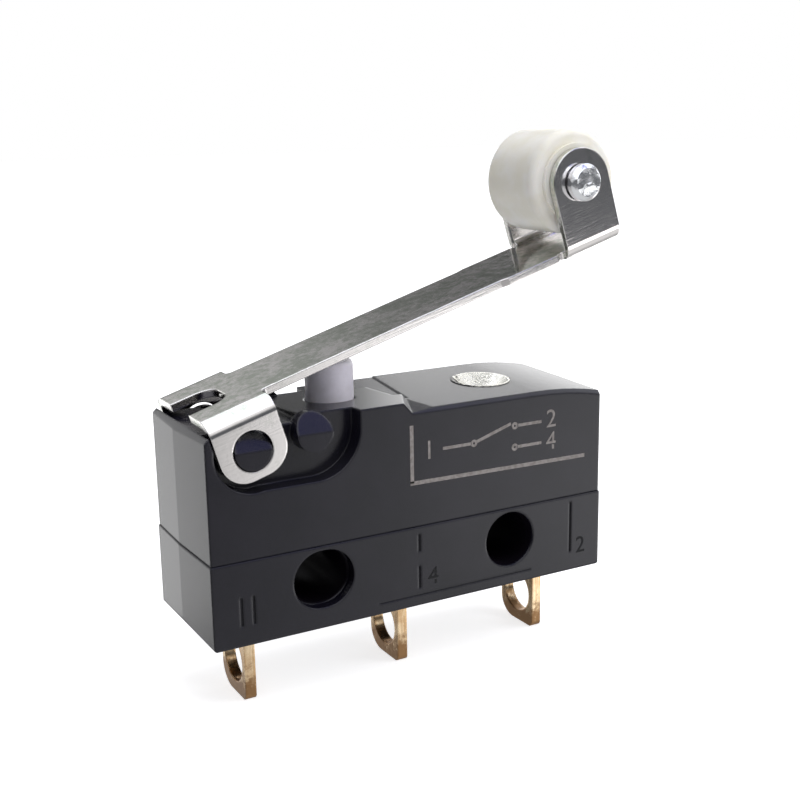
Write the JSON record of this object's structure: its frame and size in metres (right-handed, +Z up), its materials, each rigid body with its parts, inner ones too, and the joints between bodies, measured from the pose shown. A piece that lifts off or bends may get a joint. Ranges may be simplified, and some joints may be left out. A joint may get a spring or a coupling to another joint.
{
  "type": "lever micro switch",
  "caption": "Snap-action switch: a hinged sheet lever with a roller presses a plunger into a moulded housing with flat wire terminals below and mounting holes through its sides.",
  "frame": {"origin": "axis of the round mounting hole, on the mid-plane of the housing", "axes": "+X along the housing towards the contacts, +Y along the mounting holes towards the back face, +Z up towards the lever"},
  "size_m": [0.0214, 0.0064, 0.0241],
  "materials": {
    "base_plastic": "fine grained black moulding",
    "cover_plastic": "fine grained black moulding",
    "eyelet_metal": "bright pressed metal",
    "terminal_metal": "pale satin brass",
    "contact_metal": "silver alloy",
    "spring_metal": "spring copper alloy",
    "plunger_plastic": "smooth pale grey",
    "lever_steel": "satin stainless sheet",
    "pin_steel": "bright turned steel",
    "roller_plastic": "ivory moulding"
  },
  "bodies": {
    "housing": {"base": "base_plastic", "cover": "cover_plastic", "roof_eyelet": "eyelet_metal", "common_terminal": "terminal_metal", "open_terminal": "terminal_metal", "closed_terminal": "terminal_metal", "open_contact": "contact_metal", "closed_contact": "contact_metal", "contact_blade": "spring_metal", "blade_rivet": "spring_metal"},
    "lever_arm": {"lever": "lever_steel", "roller_pin": "pin_steel"},
    "roller_wheel": {"roller": "roller_plastic"},
    "plunger_stem": {"plunger": "plunger_plastic"},
    "switch_contact": {"moving_contact": "contact_metal"}
  },
  "joints": [
    {"name": "lever_pivot", "type": "hinge", "parent": "housing", "child": "lever_arm", "pos_m": [-0.01241, 0, 0.00603], "axis": [0, 1, 0], "range_deg": [0, 12], "stiffness_Nm_per_rad": 0.02, "springref_deg": -17.19},
    {"name": "roller_spin", "type": "hinge", "parent": "lever_arm", "child": "roller_wheel", "pos_m": [0.0044, 0, 0.01605], "axis": [0, 1, 0], "continuous": true},
    {"name": "plunger_slide", "type": "slide", "parent": "housing", "child": "plunger_stem", "axis": [0, 0, -1], "range_m": [0, 0.0011], "deforming": ["contact_blade"]},
    {"name": "contact_slide", "type": "slide", "parent": "housing", "child": "switch_contact", "axis": [0, 0, -1], "range_m": [0, 0.0005]}
  ],
  "couplings": [
    {"joint": "plunger_slide", "follows": "lever_pivot", "m_per_rad": 0.0049},
    {"joint": "contact_slide", "follows": "lever_pivot", "m_per_rad": 0.0022}
  ]
}
